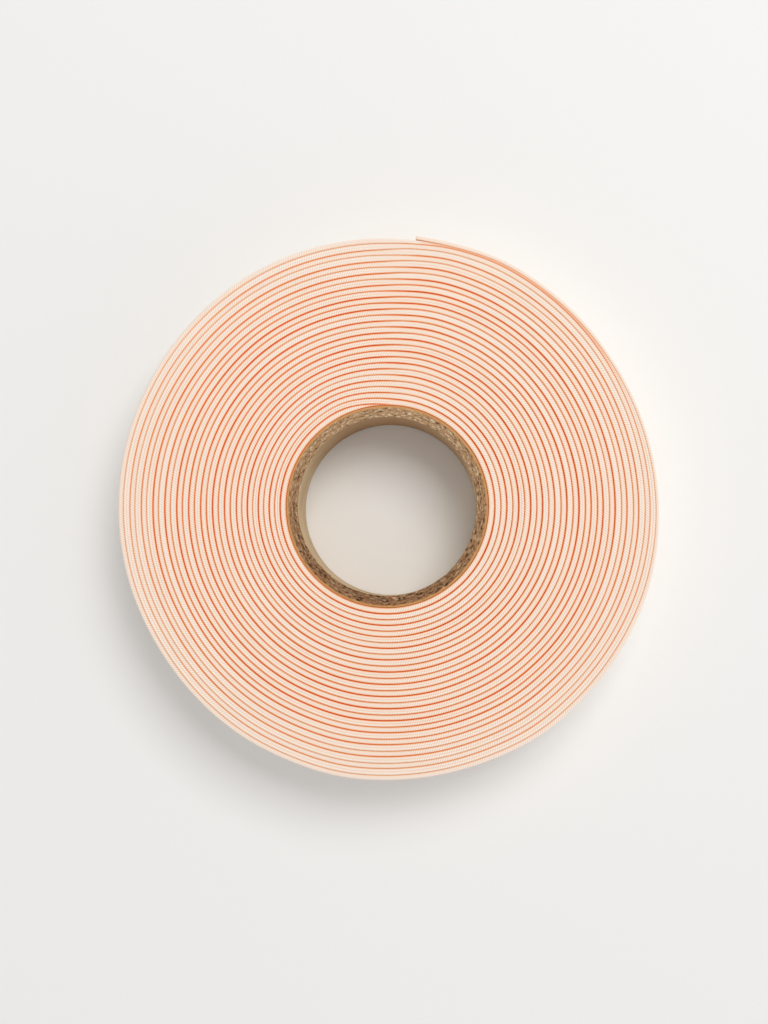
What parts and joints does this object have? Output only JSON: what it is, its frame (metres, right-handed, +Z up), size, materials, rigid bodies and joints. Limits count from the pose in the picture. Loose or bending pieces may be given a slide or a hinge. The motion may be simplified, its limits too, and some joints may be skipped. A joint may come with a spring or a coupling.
{
  "type": "roll of elastic on a cardboard core",
  "caption": "Flat roll of woven elastic tape wound on a plain cardboard tube core, lying on its side with a short loose end.",
  "frame": {"origin": "middle of the roll's outline, on the plane that the roll rests on", "axes": "+Z up along the core, +X and +Y across the roll, with the cut end of the tape near +Y"},
  "size_m": [0.1537, 0.1547, 0.025],
  "materials": {
    "elastic": "cream woven elastic with peach and orange shadows between its turns",
    "core": "brown kraft board, rough where cut"
  },
  "bodies": {
    "root": {"wound_elastic": "elastic", "loose_end": "elastic", "cardboard_core": "core"}
  },
  "joints": []
}
